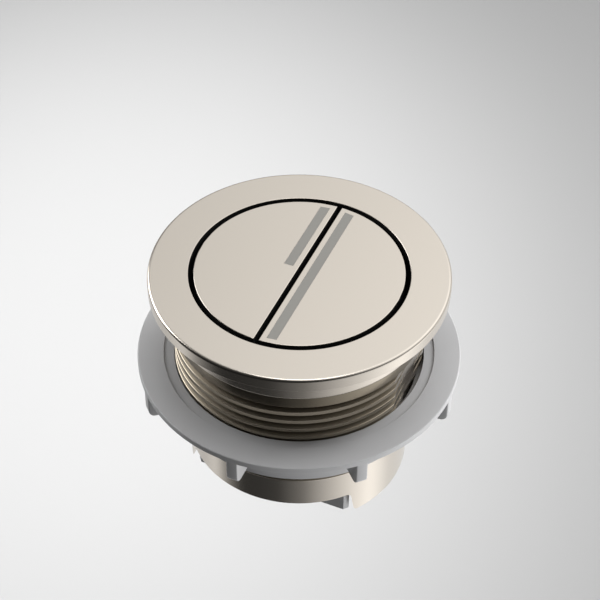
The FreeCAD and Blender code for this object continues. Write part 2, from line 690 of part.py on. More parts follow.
def place_at(body, across, turn):
    """Set the finished piece down at a distance along X, turned about Z by an angle in degrees."""
    turned = FreeCAD.Rotation(FreeCAD.Vector(0, 0, 1), turn)
    body.Placement = FreeCAD.Placement(FreeCAD.Vector(across, 0, 0), turned)


def button_cap(label, turn, mark_low):
    """A plated half-moon cap, hollow below, with a shallow place for its mark and two pegs."""
    body = new_body(label)
    outline = new_sketch(body, "XY_Plane", "sizes.bezel_height")
    half_moon(outline, "sizes.button_radius", "places.cap_flat")
    block = pad_down(body, outline, "sizes.cap_height")
    bevel_edges(body, block, edge_above("sizes.bezel_height"), "sizes.cap_edge_chamfer")
    hollow = new_sketch(body, "XY_Plane", "places.cap_ceiling")
    half_moon(hollow, "places.cap_inner_radius", "places.cap_inner_flat")
    pocket_down(body, hollow, "sizes.cap_height")
    for end in ("", "-"):
        peg = new_sketch(body, "XY_Plane", "places.cap_ceiling")
        circle(peg, "sizes.peg_radius", "sizes.plunger_spacing", end + "sizes.peg_offset")
        pad_down(body, peg, "sizes.peg_length")
    place = new_sketch(body, "XY_Plane", "sizes.bezel_height")
    mark_outline(place, mark_low, "0")
    pocket_down(body, place, "sizes.mark_thickness")
    place_at(body, 0, turn)


def mark_outline(sketch, low, clearance):
    """A bar beside the split: its far end follows the cap's rim, and so does a long bar's near end."""
    reach = "places.mark_radius - " + clearance
    near = "places.mark_near + " + clearance
    far = "places.mark_far - " + clearance
    radius, inner, outer = number(reach), number(near), number(far)
    rim = Part.Circle(FreeCAD.Vector(0, 0, 0), FreeCAD.Vector(0, 0, 1), radius)
    first, last = math.asin(inner / radius), math.asin(outer / radius)
    foot_inner = FreeCAD.Vector(inner, -radius * math.cos(first), 0)
    foot_outer = FreeCAD.Vector(outer, -radius * math.cos(last), 0)
    arc = sketch.addGeometry(Part.ArcOfCircle(rim, first - math.pi / 2, last - math.pi / 2), False)
    sketch.addConstraint(Sketcher.Constraint("Coincident", arc, 3, -1, 1))
    bind_radius(sketch, arc, reach)
    if low is None:
        head_inner = FreeCAD.Vector(inner, radius * math.cos(first), 0)
        head_outer = FreeCAD.Vector(outer, radius * math.cos(last), 0)
        end = sketch.addGeometry(Part.ArcOfCircle(rim, math.pi / 2 - last, math.pi / 2 - first), False)
        sketch.addConstraint(Sketcher.Constraint("Coincident", end, 3, -1, 1))
        bind_radius(sketch, end, reach)
    else:
        head_inner = FreeCAD.Vector(inner, number(low), 0)
        head_outer = FreeCAD.Vector(outer, number(low), 0)
        end = sketch.addGeometry(Part.LineSegment(head_outer, head_inner), False)
        sketch.addConstraint(Sketcher.Constraint("Horizontal", end))
        bind(sketch, "DistanceY", end, 1, number(low), low)
    left = sketch.addGeometry(Part.LineSegment(head_inner, foot_inner), False)
    right = sketch.addGeometry(Part.LineSegment(foot_outer, head_outer), False)
    for before, after in ((left, arc), (arc, right), (right, end), (end, left)):
        sketch.addConstraint(Sketcher.Constraint("Coincident", before, 2, after, 1))
    sketch.addConstraint(Sketcher.Constraint("Vertical", left))
    sketch.addConstraint(Sketcher.Constraint("Vertical", right))
    bind(sketch, "DistanceX", left, 1, inner, near)
    bind(sketch, "DistanceX", right, 1, outer, far)


def button_mark(label, turn, mark_low):
    """The grey bar that fills its place in the cap, flush with the top."""
    body = new_body(label)
    outline = new_sketch(body, "XY_Plane", "sizes.bezel_height")
    low = None if mark_low is None else mark_low + " - sizes.mark_clearance"
    mark_outline(outline, low, "sizes.mark_clearance")
    pad_down(body, outline, "sizes.mark_thickness")
    place_at(body, 0, turn)


def plunger(label, turn):
    """A half-moon plate under the cap, with a bored stem in the sleeve and two pins that stop it turning."""
    body = new_body(label)
    outline = new_sketch(body, "XY_Plane", "places.cap_ceiling")
    half_moon(outline, "places.plunger_radius", "places.plunger_flat")
    pad_down(body, outline, "sizes.plunger_plate_thickness")
    stem = new_sketch(body, "XY_Plane", "places.cap_ceiling")
    circle(stem, "sizes.stem_radius", "sizes.plunger_spacing")
    pad_down(body, stem, "places.cap_ceiling - places.stem_bottom")
    for end in ("", "-"):
        pin = new_sketch(body, "XY_Plane", "places.cap_ceiling")
        circle(pin, "sizes.pin_radius", "sizes.plunger_spacing", end + "sizes.pin_offset")
        pad_down(body, pin, "places.cap_ceiling - places.pin_bottom")
    bore = new_sketch(body, "XY_Plane", "places.rod_top + sizes.rod_clearance")
    circle(bore, "places.rod_bore_radius", "sizes.plunger_spacing")
    pocket_down(body, bore, "sizes.rod_grip + sizes.rod_clearance")
    holes = new_sketch(body, "XY_Plane", "places.cap_ceiling")
    for end in ("", "-"):
        circle(holes, "places.peg_hole_radius", "sizes.plunger_spacing", end + "sizes.peg_offset")
    pocket_down(body, holes, "sizes.peg_length")
    place_at(body, 0, turn)


def spring_section(turn):
    """One corner of the wire's section, at an angle in degrees about the wire's centre."""
    return (f"places.spring_mean_radius + sizes.spring_wire / 2 * cos({turn})",
            f"places.spring_bottom + sizes.spring_wire / 2 * sin({turn})")


def return_spring(label, across):
    """A coil about the stem, between the carrier's plate and the plunger; its wire has four flats."""
    body = new_body(label)
    wire = new_sketch(body, "XZ_Plane")
    polygon(wire, [spring_section(turn) for turn in range(0, 360, 90)])
    wind(body, wire, "sizes.spring_turns", "(places.spring_top - places.spring_bottom) / sizes.spring_turns")
    place_at(body, across, 0)


def push_rod(label, across):
    """A plain round rod, held in the plunger's stem."""
    body = new_body(label)
    outline = new_sketch(body, "XY_Plane", "places.rod_top")
    circle(outline, "sizes.rod_radius")
    pad_down(body, outline, "places.rod_top - places.rod_bottom")
    place_at(body, across, 0)


def rod_tip(label, across):
    """A plastic foot pushed onto the rod's lower end."""
    body = new_body(label)
    outline = new_sketch(body, "XY_Plane", "places.tip_top")
    circle(outline, "sizes.tip_radius")
    block = pad_down(body, outline, "sizes.tip_height")
    bevel_edges(body, block, edge_above("places.tip_bottom"), "sizes.tip_edge_chamfer")
    hole = new_sketch(body, "XY_Plane", "places.tip_top")
    circle(hole, "places.rod_bore_radius")
    pocket_down(body, hole, "sizes.tip_grip + sizes.rod_clearance")
    place_at(body, across, 0)


def lock_nut(label, across):
    """A hexagon nut on the rod, run up against the end of the stem."""
    body = new_body(label)
    outline = new_sketch(body, "XY_Plane", "places.stem_bottom")
    corner = "(sizes.lock_nut_flats / 2 / cos(30))"
    polygon(outline, [(f"{corner} * cos({60 * k})", f"{corner} * sin({60 * k})") for k in range(6)])
    circle(outline, "places.rod_bore_radius")
    pad_down(body, outline, "sizes.lock_nut_height")
    place_at(body, across, 0)


# The two buttons: the full flush one as drawn, at +X, the half flush one turned half round to -X
for name, side, turn, mark_low in (("full", 1, 0, None), ("half", -1, 180, "-sizes.half_mark_end")):
    across = side * number("sizes.plunger_spacing")
    button_cap(name + "_button_cap", turn, mark_low)
    button_mark(name + "_button_mark", turn, mark_low)
    plunger(name + "_plunger", turn)
    return_spring(name + "_spring", across)
    push_rod(name + "_push_rod", across)
    lock_nut(name + "_lock_nut", across)
    rod_tip(name + "_rod_tip", across)

doc.recompute()
for item in doc.Objects:
    if "Invalid" in item.State or "Error" in item.State:
        raise RuntimeError(f"{item.Name} failed: {item.State}")
bodies = [item for item in doc.Objects if item.TypeId == "PartDesign::Body"]
for body in bodies:
    if body.Shape.isNull() or not body.Shape.isValid() or len(body.Shape.Solids) != 1:
        raise RuntimeError(body.Label + " is not one valid solid")
for body in bodies:
    body.Shape.exportStep(f"parts/{body.Label}.step")
    print(f"{body.Label}: {body.Shape.Volume:.1f} mm3")
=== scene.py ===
import math
import bmesh
import bpy
import numpy as np
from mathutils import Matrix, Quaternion, Vector


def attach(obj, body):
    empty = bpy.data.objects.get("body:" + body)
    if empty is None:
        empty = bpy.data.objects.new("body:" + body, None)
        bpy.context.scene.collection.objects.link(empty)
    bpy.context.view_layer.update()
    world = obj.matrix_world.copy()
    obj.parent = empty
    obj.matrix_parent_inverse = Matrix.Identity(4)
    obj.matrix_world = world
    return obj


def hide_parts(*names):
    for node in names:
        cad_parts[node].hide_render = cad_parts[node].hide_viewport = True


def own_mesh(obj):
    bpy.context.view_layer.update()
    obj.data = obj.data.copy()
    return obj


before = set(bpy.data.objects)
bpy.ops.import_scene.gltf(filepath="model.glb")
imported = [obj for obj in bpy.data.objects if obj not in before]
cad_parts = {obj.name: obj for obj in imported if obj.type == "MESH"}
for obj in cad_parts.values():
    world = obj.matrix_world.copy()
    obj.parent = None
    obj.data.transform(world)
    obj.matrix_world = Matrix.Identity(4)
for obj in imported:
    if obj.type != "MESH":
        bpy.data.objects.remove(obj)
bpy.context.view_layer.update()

# Threaded body: one ABS moulding under satin nickel plate, a tube with a coarse ridge wound round it.
# The mould parts at the two flats on its sides, and two lobes hang down where the tube is cut short.
MM = 0.001  # sizes are in millimetres, with heights above the lid's top face, and Blender's in metres
BORE = 26.9
SPIGOT, SPIGOT_TOP = 29.2, 1.7
NECK, NECK_TOP, NECK_MIDDLE, THREAD_TOP = 30.9, -8.2, -9.3, -11.5
ROOT, CREST, PITCH, TURNS = 29.4, 30.9, 2.8, 9
RIDGE_HALF_CREST, RIDGE_HALF_ROOT, THREAD_EDGE = 0.6, 1.1, 0.07
RIDGE_TOP = THREAD_TOP - 0.5 - RIDGE_HALF_ROOT
RIDGE_START = RIDGE_TOP - TURNS * PITCH
THREAD_BOTTOM = RIDGE_START - RIDGE_HALF_ROOT
FLAT = 29.2
TUBE, TUBE_END, SHOULDER = 28.2, 28.1, 1.6
STOP_RING, STOP_TOP, STOP_UNDER = 24.6, -10.8, -14.0
SHORT_WALL, LOBE_END, LOBE_TOP_X, LOBE_END_X = -49.5, -56.8, 21.8, 22.6
GAP_ROUND, LOBE_ROUND = 1.1, 1.4
WINDOW_HALF, WINDOW_TOP, WINDOW_UNDER = 4.3, -26.7, -30.6
CORNER_DROP = 1.4  # where an eased corner ends, it has fallen this many times as far as a sharp one
HARD_ANGLE = math.radians(35)
AROUND = 360


def back_to_start(rows):
    """The same rows with the first one again at the end, which closes a ring."""
    return np.concatenate([rows, rows[:1]])


def rounded(corners, steps=5, closed=True):
    """An outline with its corners rounded. At corner C with radius r and half angle h between its two
    sides, the arc starts r / tan(h) from C along one side and ends as far along the other, and its
    points are centre + r (cos, sin) of the angles between. Corners are (across, up, r). One more point
    lies r / 8 beyond each end of an arc, which keeps the shading of the flat beside it flat."""
    points = []
    count = len(corners)
    for k, (x, y, r) in enumerate(corners):
        here = np.array((x, y))
        if r == 0 or (not closed and k in (0, count - 1)):
            points.append(here[None])
            continue
        before = np.array(corners[k - 1][:2]) - here
        after = np.array(corners[(k + 1) % count][:2]) - here
        before, after = before / np.linalg.norm(before), after / np.linalg.norm(after)
        half = math.acos(np.clip(before @ after, -1, 1)) / 2
        centre = here + (before + after) / np.linalg.norm(before + after) * r / math.sin(half)
        first = here + before * r / math.tan(half) - centre
        last = here + after * r / math.tan(half) - centre
        turn = math.atan2(first[0] * last[1] - first[1] * last[0], first @ last)
        angles = math.atan2(first[1], first[0]) + turn * np.linspace(0, 1, steps)
        arc = centre + r * np.stack([np.cos(angles), np.sin(angles)], -1)
        points.append(np.concatenate([arc[:1] + before * r / 8, arc, arc[-1:] + after * r / 8]))
    return np.concatenate(points)


def turned(outline, angles):
    """A profile of (radius, height) carried round Z: P(turn, k) = (r_k cos turn, r_k sin turn, z_k)."""
    r, z = outline[:, 0], outline[:, 1]
    return np.stack([np.cos(angles)[:, None] * r, np.sin(angles)[:, None] * r,
                     np.broadcast_to(z, (len(angles), len(z)))], -1)


def wound(radius_at, levels, low, high, pitch, angles):
    """A wall whose rows climb with a thread: P(turn, s) = (r cos turn, r sin turn, z) with
    z = s + pitch turn / 360 degrees, held between low and high, and r from radius_at(turn, s, z).
    Levels are the same at every angle, or one row of them for each."""
    turn, s = np.broadcast_arrays(angles[:, None], levels)
    z = np.clip(s + pitch * turn / math.tau, low, high)
    r = radius_at(turn, s, z)
    return np.stack([r * np.cos(turn), r * np.sin(turn), z], -1)


def ridge_levels(start, count, half_crest, half_root, edge):
    """Rows for one ridge profile in every pitch: its two feet and its two crest edges, each edge doubled
    by a short step so that it catches the light."""
    one = np.array([-half_root - edge, -half_root + edge, -half_crest - edge, -half_crest + edge,
                    0, half_crest - edge, half_crest + edge, half_root - edge, half_root + edge])
    return (start + PITCH * np.arange(-1, count + 1)[:, None] + one[None]).ravel()


def ridge_height(s, start, half_crest, half_root, edge):
    """The ridge's height from 0 to 1 at row s: 1 within the crest, 0 beyond the feet, and straight
    between, with each corner eased over a distance edge to both sides."""
    away = np.abs((s - start + PITCH / 2) % PITCH - PITCH / 2)
    drop = CORNER_DROP * edge / (half_root - half_crest)
    corners = [half_crest - edge, half_crest + edge, half_root - edge, half_root + edge]
    return np.interp(away, corners, [1, 1 - drop, drop, 0])


def flat_reach(turn):
    """How far the planes x = +-FLAT lie from the axis at an angle: FLAT / |cos turn|."""
    return FLAT / np.maximum(np.abs(np.cos(turn)), 1e-3)


def body_radius(turn, s, z):
    """Root plus ridge between the ridge's first and last turn, cut by the planes x = +-FLAT."""
    on = (s > RIDGE_START - PITCH / 2) & (s < RIDGE_TOP - PITCH / 2)
    ridge = ridge_height(s, RIDGE_START, RIDGE_HALF_CREST, RIDGE_HALF_ROOT, THREAD_EDGE)
    r = ROOT + (CREST - ROOT) * np.where(on, ridge, 0)
    r = np.where((z < THREAD_TOP) & (z > THREAD_BOTTOM), r, ROOT)
    return np.minimum(r, flat_reach(turn))


def flank_cut(turn):
    """Rows where the planes x = +-FLAT meet both flanks of every ridge: the plane's radius at this turn
    as a share of the ridge's height, turned back into a distance from the ridge's middle."""
    share = (flat_reach(turn) - ROOT) / (CREST - ROOT)
    drop = CORNER_DROP * THREAD_EDGE / (RIDGE_HALF_ROOT - RIDGE_HALF_CREST)
    away = np.interp(share, [0, drop, 1 - drop, 1], [
        RIDGE_HALF_ROOT + THREAD_EDGE, RIDGE_HALF_ROOT - THREAD_EDGE,
        RIDGE_HALF_CREST + THREAD_EDGE, RIDGE_HALF_CREST - THREAD_EDGE])[:, None]
    middles = RIDGE_START + PITCH * np.arange(-1, TURNS + 1)
    return np.concatenate([middles - away, middles + away], 1)


def prism(outline, along, reach):
    """A flat outline carried from -reach to +reach along X or Y, with both ends closed by a fan."""
    ends = []
    for far in (-reach, reach):
        flat = np.stack([outline[:, 0], np.full(len(outline), far), outline[:, 1]], -1)
        ends.append(back_to_start(flat))
    if along == "X":
        ends = [end[:, [1, 0, 2]] for end in ends]
    fans = [np.stack([end, np.broadcast_to(end[:-1].mean(0), end.shape)]) for end in ends]
    return [np.stack(ends)] + fans


def piece(name, grids, body, replaced=()):
    """One object from grids of points in mm, rows by columns: each cell is a face. Points that coincide
    are one vertex, which closes seams and poles, and a face that this leaves with no area is dropped.
    Angles sharper than HARD_ANGLE stay hard."""
    points, cells, start = [], [], 0
    for grid in grids:
        rows, columns = grid.shape[:2]
        index = start + np.arange(rows * columns).reshape(rows, columns)
        corners = [index[:-1, :-1], index[1:, :-1], index[1:, 1:], index[:-1, 1:]]
        cells.append(np.stack(corners, -1).reshape(-1, 4))
        points.append(grid.reshape(-1, 3))
        start += rows * columns
    points, cells = np.concatenate(points), np.concatenate(cells)
    _, first, shared = np.unique(np.round(points, 4), axis=0, return_index=True, return_inverse=True)
    cells = shared.reshape(-1)[cells]
    doubled = cells == np.roll(cells, -1, 1)
    quads = cells[doubled.sum(1) == 0]
    quads = quads[(quads[:, 0] != quads[:, 2]) & (quads[:, 1] != quads[:, 3])]
    pointed = doubled.sum(1) == 1
    triangles = cells[pointed][~doubled[pointed]].reshape(-1, 3)
    mesh = bpy.data.meshes.new(name)
    mesh.from_pydata(points[first] * MM, [], quads.tolist() + triangles.tolist())
    made = bmesh.new()
    made.from_mesh(mesh)
    bmesh.ops.recalc_face_normals(made, faces=made.faces)
    made.to_mesh(mesh)
    made.free()
    mesh.polygons.foreach_set("use_smooth", np.ones(len(mesh.polygons), bool))
    mesh.set_sharp_from_angle(angle=HARD_ANGLE)
    new = bpy.data.objects.new(name, mesh)
    bpy.context.scene.collection.objects.link(new)
    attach(new, body)
    if replaced:
        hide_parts(*replaced)
    return new


def cut(whole, name, grids):
    """Take a closed cutter away from the closed body and keep the result as its mesh."""
    cutter = piece(name, grids, "fixed")
    step = whole.modifiers.new(name, "BOOLEAN")
    step.operation, step.solver, step.object = "DIFFERENCE", "EXACT", cutter
    bpy.context.view_layer.update()
    evaluated = whole.evaluated_get(bpy.context.evaluated_depsgraph_get())
    mesh = bpy.data.meshes.new_from_object(evaluated)
    whole.modifiers.remove(step)
    whole.data = mesh
    bpy.data.objects.remove(cutter)


# Even steps round the body, with one more on each line where a flat meets the crest or the root
around = np.linspace(0, math.tau, AROUND + 1)
meet = np.array([math.acos(FLAT / CREST), math.acos(FLAT / ROOT)])
round_body = np.unique(np.concatenate([around, meet, math.pi - meet, math.pi + meet, math.tau - meet]))
spigot = rounded([
    (ROOT, THREAD_TOP, 0), (NECK, THREAD_TOP, 0.15), (NECK, NECK_MIDDLE, 0), (NECK, NECK_TOP, 0.15),
    (SPIGOT, NECK_TOP, 0), (SPIGOT, SPIGOT_TOP, 0.2), (BORE, SPIGOT_TOP, 0.2),
    (BORE, STOP_TOP, 0), (STOP_RING, STOP_TOP, 0.15), (STOP_RING, STOP_UNDER, 0.15), (BORE, STOP_UNDER, 0),
    (BORE, LOBE_END, 0.1), (TUBE_END, LOBE_END, 0.35), (TUBE, THREAD_BOTTOM - SHOULDER, 0.3),
    (ROOT, THREAD_BOTTOM, 0),
], closed=False)
wall = turned(spigot, round_body)
seam = np.minimum(ROOT, flat_reach(round_body))
wall[:, [0, -1], 0] = (seam * np.cos(round_body))[:, None]
wall[:, [0, -1], 1] = (seam * np.sin(round_body))[:, None]
levels = ridge_levels(RIDGE_START, TURNS, RIDGE_HALF_CREST, RIDGE_HALF_ROOT, THREAD_EDGE)
levels = np.unique(np.concatenate([[THREAD_BOTTOM - PITCH], levels, [THREAD_TOP]]))
levels = np.broadcast_to(levels, (len(round_body), len(levels)))
levels = np.sort(np.concatenate([levels, flank_cut(round_body)], 1), 1)
thread = wound(body_radius, levels, THREAD_BOTTOM, THREAD_TOP, PITCH, round_body)
body = piece("plated_threaded_body", [wall, thread], "fixed", ["threaded_body"])

# The cutter between the lobes runs on past their rounded tips, just below them, and well out of the tube
PAST_TIP, UNDER_TIP, CUT_DEPTH, CUT_REACH = 4, 0.03, 5, CREST + 5
tip_x = LOBE_END_X + PAST_TIP
gap = rounded([
    (-LOBE_TOP_X, SHORT_WALL, GAP_ROUND), (LOBE_TOP_X, SHORT_WALL, GAP_ROUND),
    (LOBE_END_X, LOBE_END, LOBE_ROUND), (tip_x, LOBE_END - UNDER_TIP, 0), (tip_x, LOBE_END - CUT_DEPTH, 0),
    (-tip_x, LOBE_END - CUT_DEPTH, 0), (-tip_x, LOBE_END - UNDER_TIP, 0), (-LOBE_END_X, LOBE_END, LOBE_ROUND),
])
cut(body, "lobe_gap", prism(gap, "Y", CUT_REACH))
window = np.array([(-WINDOW_HALF, WINDOW_UNDER), (WINDOW_HALF, WINDOW_UNDER),
                   (WINDOW_HALF, WINDOW_TOP), (-WINDOW_HALF, WINDOW_TOP)])
cut(body, "snap_windows", prism(window, "X", CUT_REACH))
body.data.set_sharp_from_angle(angle=HARD_ANGLE)


def linear(code):
    """An sRGB hex colour as linear red, green, blue and 1: c / 12.92 up to 0.04045, above it
    ((c + 0.055) / 1.055) to the power 2.4."""
    values = [int(code[k:k + 2], 16) / 255 for k in (0, 2, 4)]
    return [c / 12.92 if c <= 0.04045 else ((c + 0.055) / 1.055) ** 2.4 for c in values] + [1]


def link(node, links):
    """Feed sockets of a node: each takes (source node, output)."""
    for socket, (source, output) in links.items():
        node.id_data.links.new(source.outputs[output], node.inputs[socket])


def add(material, kind, settings=None, links=None):
    """One shader node with its settings and its links."""
    node = material.node_tree.nodes.new(kind)
    for name, value in (settings or {}).items():
        if isinstance(name, str) and hasattr(node, name):
            setattr(node, name, value)
        else:
            node.inputs[name].default_value = value
    link(node, links or {})
    return node


def blank(name):
    """A new material, its surface shader and its Object coordinates."""
    material = bpy.data.materials.new(name)
    material.use_nodes = True
    shader = material.node_tree.nodes["Principled BSDF"]
    place = add(material, "ShaderNodeTexCoord")
    return material, shader, place


def satin_nickel(name, colour, rough, groove_shade=None):
    """Satin nickel plate over moulded ABS: a fine even grain from the etched plate, drawn at 0.35 mm
    because the real one is too fine to show, seen as a faint speckle in colour and gloss, and a slow
    waviness from the moulding under it. Given a groove_shade colour, the gloss turns duller inwards from
    the crests, and the colour turns to groove_shade there and above the thread: painted shade in the grooves
    and on the neck."""
    material, shader, place = blank(name)
    grain = add(material, "ShaderNodeTexNoise", {"Scale": 1 / (0.35 * MM), "Detail": 2.0, "Roughness": 0.6},
                {"Vector": (place, "Object")})
    waviness = add(material, "ShaderNodeTexNoise", {"Scale": 1 / (9 * MM), "Detail": 1.0},
                   {"Vector": (place, "Object")})
    light, dark = linear(colour), [c * 0.96 for c in linear(colour)[:3]] + [1]
    tint = add(material, "ShaderNodeMix", {"data_type": "RGBA", 6: dark, 7: light}, {0: (grain, 0)})
    gloss = add(material, "ShaderNodeMapRange", {3: rough - 0.02, 4: rough + 0.03}, {0: (grain, 0)})
    if groove_shade:
        level = add(material, "ShaderNodeVectorMath", {"operation": "MULTIPLY", 1: (1, 1, 0)},
                    {0: (place, "Object")})
        radius = add(material, "ShaderNodeVectorMath", {"operation": "LENGTH"}, {0: (level, 0)})
        crest = add(material, "ShaderNodeMapRange", {
            "interpolation_type": "SMOOTHSTEP", 1: (CREST - 0.2) * MM, 2: (CREST - 0.01) * MM,
        }, {0: (radius, "Value")})
        gloss = add(material, "ShaderNodeMapRange", {3: 0.5, 4: 0.14}, {0: (crest, 0)})
        height = add(material, "ShaderNodeSeparateXYZ", {}, {"Vector": (place, "Object")})
        below_neck = add(material, "ShaderNodeMapRange", {
            1: (THREAD_TOP + 0.1) * MM, 2: (THREAD_TOP - 0.1) * MM,
        }, {0: (height, "Z")})
        full = add(material, "ShaderNodeMath", {"operation": "MULTIPLY"}, {0: (crest, 0), 1: (below_neck, 0)})
        tint = add(material, "ShaderNodeMix", {"data_type": "RGBA", 6: linear(groove_shade)},
                   {0: (full, 0), 7: (tint, 2)})
    bump = add(material, "ShaderNodeBump", {"Strength": 0.02, "Distance": 0.005 * MM}, {"Height": (grain, 0)})
    swell = add(material, "ShaderNodeBump", {"Strength": 0.02, "Distance": 0.03 * MM},
                {"Height": (waviness, 0), "Normal": (bump, 0)})
    link(shader, {"Base Color": (tint, 2), "Roughness": (gloss, 0), "Normal": (swell, 0)})
    shader.inputs["Metallic"].default_value = 1.0
    return material


def finish(plated, *others):
    """Nickel all over a plated piece, except that each pair (material, where) in turn takes the faces
    for which where(x, y, z) in mm is true."""
    centres = np.empty(len(plated.data.polygons) * 3)
    plated.data.polygons.foreach_get("center", centres)
    x, y, z = centres.reshape(-1, 3).T / MM
    kinds = np.zeros(len(z), np.int32)
    plated.data.materials.append(nickel)
    for k, (material, where) in enumerate(others, 1):
        plated.data.materials.append(material)
        kinds[where(x, y, z)] = k
    plated.data.polygons.foreach_set("material_index", kinds)


def inside_body(x, y, z):
    """The spigot, which the bezel covers, and the bore down to just under the stop ring."""
    return (z > NECK_TOP) | ((z > STOP_UNDER - 1) & (np.hypot(x, y) < BORE + 0.1))


def thread_and_neck(x, y, z):
    """The neck and the outside of the thread, without the flats at its two sides."""
    outside = (z < NECK_TOP) & (z > THREAD_BOTTOM - 0.1) & (np.hypot(x, y) > BORE + 0.2)
    return outside & ((z > THREAD_TOP - 0.01) | (np.abs(x) < FLAT - 0.02))


nickel = satin_nickel("satin_nickel_on_moulded_abs", "DBD3C8", 0.2)
# Painted shade: the thread and neck are darker than the rest of the plate, darker still in grooves and neck
shaded_thread_nickel = satin_nickel("satin_nickel_with_painted_groove_shade", "B4AA99", 0.25, "8C8374")

# Painted shade: nearly black, with a dull even gloss, on the hidden faces that show in the gaps between parts
black_gap_shade, shader, place = blank("painted_black_gap_shade")
sheen = add(black_gap_shade, "ShaderNodeTexNoise", {"Scale": 1 / (0.5 * MM), "Detail": 2.0},
            {"Vector": (place, "Object")})
tint = add(black_gap_shade, "ShaderNodeMix", {"data_type": "RGBA", 6: linear("161616"), 7: linear("1E1E1D")},
           {0: (sheen, 0)})
gloss = add(black_gap_shade, "ShaderNodeMapRange", {3: 0.5, 4: 0.6}, {0: (sheen, 0)})
link(shader, {"Base Color": (tint, 2), "Roughness": (gloss, 0)})
# The spigot and the bore are painted black as shade, and the thread and neck take the shaded nickel
finish(body, (black_gap_shade, inside_body), (shaded_thread_nickel, thread_and_neck))

# Bezel: a plated ABS ring, 73 mm across, whose collar snaps over the body's spigot.
# Its top and its side meet in a small round that catches the light all the way round.
BEZEL, OPENING, BEZEL_TOP, PLATE_UNDER = 36.5, 26.7, 3.5, 1.7
COLLAR, SOCKET, COLLAR_END = 31.8, 29.3, -7.7
GROOVE_IN, GROOVE_OUT, GROOVE_TOP = 32.7, 35.7, 0.9
ring = rounded([
    (OPENING, BEZEL_TOP, 0.15), (OPENING, PLATE_UNDER, 0.1), (SOCKET, PLATE_UNDER, 0),
    (SOCKET, COLLAR_END, 0.2), (COLLAR, COLLAR_END, 0.5), (COLLAR, 0, 0), (GROOVE_IN, 0, 0),
    (GROOVE_IN, GROOVE_TOP, 0), (GROOVE_OUT, GROOVE_TOP, 0), (GROOVE_OUT, 0, 0),
    (BEZEL, 0, 0.2), (BEZEL, BEZEL_TOP, 0.7),
], steps=7)


def inside_bezel(x, y, z):
    """The opening's wall, the underside within it and the socket."""
    return (np.hypot(x, y) < SOCKET + 0.1) & (z < BEZEL_TOP - 0.2)


bezel = piece("plated_bezel", [turned(back_to_start(ring), around)], "fixed", ["bezel"])
# The opening's wall, the underside within it and the socket are painted black as shade
finish(bezel, (black_gap_shade, inside_bezel))

# Gasket: a flat ring of black rubber let into the bezel's underside, where it presses on the lid.
# Its moulded skin is dull and softly mottled.
GASKET_IN, GASKET_OUT, GASKET_TOP = 33.0, 35.4, 0.9
strip = rounded([
    (GASKET_IN, 0, 0.2), (GASKET_OUT, 0, 0.2), (GASKET_OUT, GASKET_TOP, 0.1), (GASKET_IN, GASKET_TOP, 0.1),
])
gasket = piece("rubber_lid_gasket", [turned(back_to_start(strip), around)],
               "gasket", ["lid_gasket"])
rubber, shader, place = blank("moulded_black_rubber")
bloom = add(rubber, "ShaderNodeTexNoise", {"Scale": 1 / (1.2 * MM), "Detail": 4.0},
            {"Vector": (place, "Object")})
tint = add(rubber, "ShaderNodeMix", {"data_type": "RGBA", 6: linear("1C1C1C"), 7: linear("2B2B2A")},
           {0: (bloom, 0)})
skin = add(rubber, "ShaderNodeBump", {"Strength": 0.2, "Distance": 0.05 * MM}, {"Height": (bloom, 0)})
link(shader, {"Base Color": (tint, 2), "Normal": (skin, 0)})
shader.inputs["Roughness"].default_value = 0.7
gasket.data.materials.append(rubber)

# Clamp nut: a satin grey polypropylene moulding, a thin disc on a threaded hub with eight lugs under it.
# The disc's top has a shallow recess round the thread, and the lugs are what the fingers turn it by.
NUT_TOP, NUT_UNDER, NUT_BOTTOM = -22.3, -24.0, -35.3
DISC, RECESS, RECESS_FLOOR, HUB, NUT_BORE, NUT_RIDGE = 40.3, 33.7, -22.8, 32.4, 31.2, 29.7
LUGS, LUG_WIDE, LUG_IN, LUG_OUT, LUG_END = 8, 2.9, 32.0, 40.2, -31.2
LUG_ROUND, LUG_EDGE, LUG_SUNK = 2.0, 0.3, 0.4
FLANK_SLOPE = (RIDGE_HALF_ROOT - RIDGE_HALF_CREST) / (CREST - ROOT)
FLANK_PLAY, NUT_MARGIN, NUT_EDGE, NUT_TURNS, RUN_OUT = 0.2, 0.3, 0.05, 4, math.radians(14)
NUT_HALF_CREST = PITCH / 2 - RIDGE_HALF_ROOT + FLANK_SLOPE * (NUT_RIDGE - ROOT) - FLANK_PLAY
NUT_HALF_ROOT = NUT_HALF_CREST + FLANK_SLOPE * (NUT_BORE - NUT_RIDGE)
NUT_LOWEST = NUT_BOTTOM + NUT_MARGIN + NUT_HALF_ROOT
NUT_START = RIDGE_START + (math.ceil((NUT_LOWEST - RIDGE_START) / PITCH - 0.5) + 0.5) * PITCH
NUT_END = RECESS_FLOOR - NUT_MARGIN - NUT_HALF_ROOT


def nut_radius(turn, s, z):
    """Bore less ridge, the ridge fading in and out over the angle RUN_OUT at its two ends."""
    gone = (s - NUT_START + PITCH / 2) // PITCH * math.tau + turn
    whole = (NUT_END - NUT_START) / PITCH * math.tau
    fade = np.clip(gone / RUN_OUT, 0, 1) * np.clip((whole - gone) / RUN_OUT, 0, 1)
    ridge = ridge_height(s, NUT_START, NUT_HALF_CREST, NUT_HALF_ROOT, NUT_EDGE)
    return NUT_BORE - (NUT_BORE - NUT_RIDGE) * ridge * fade


def swung(points, turn):
    """Points turned about Z: (x cos turn - y sin turn, x sin turn + y cos turn, z)."""
    x, y, z = points[..., 0], points[..., 1], points[..., 2]
    return np.stack([x * math.cos(turn) - y * math.sin(turn), x * math.sin(turn) + y * math.cos(turn), z], -1)


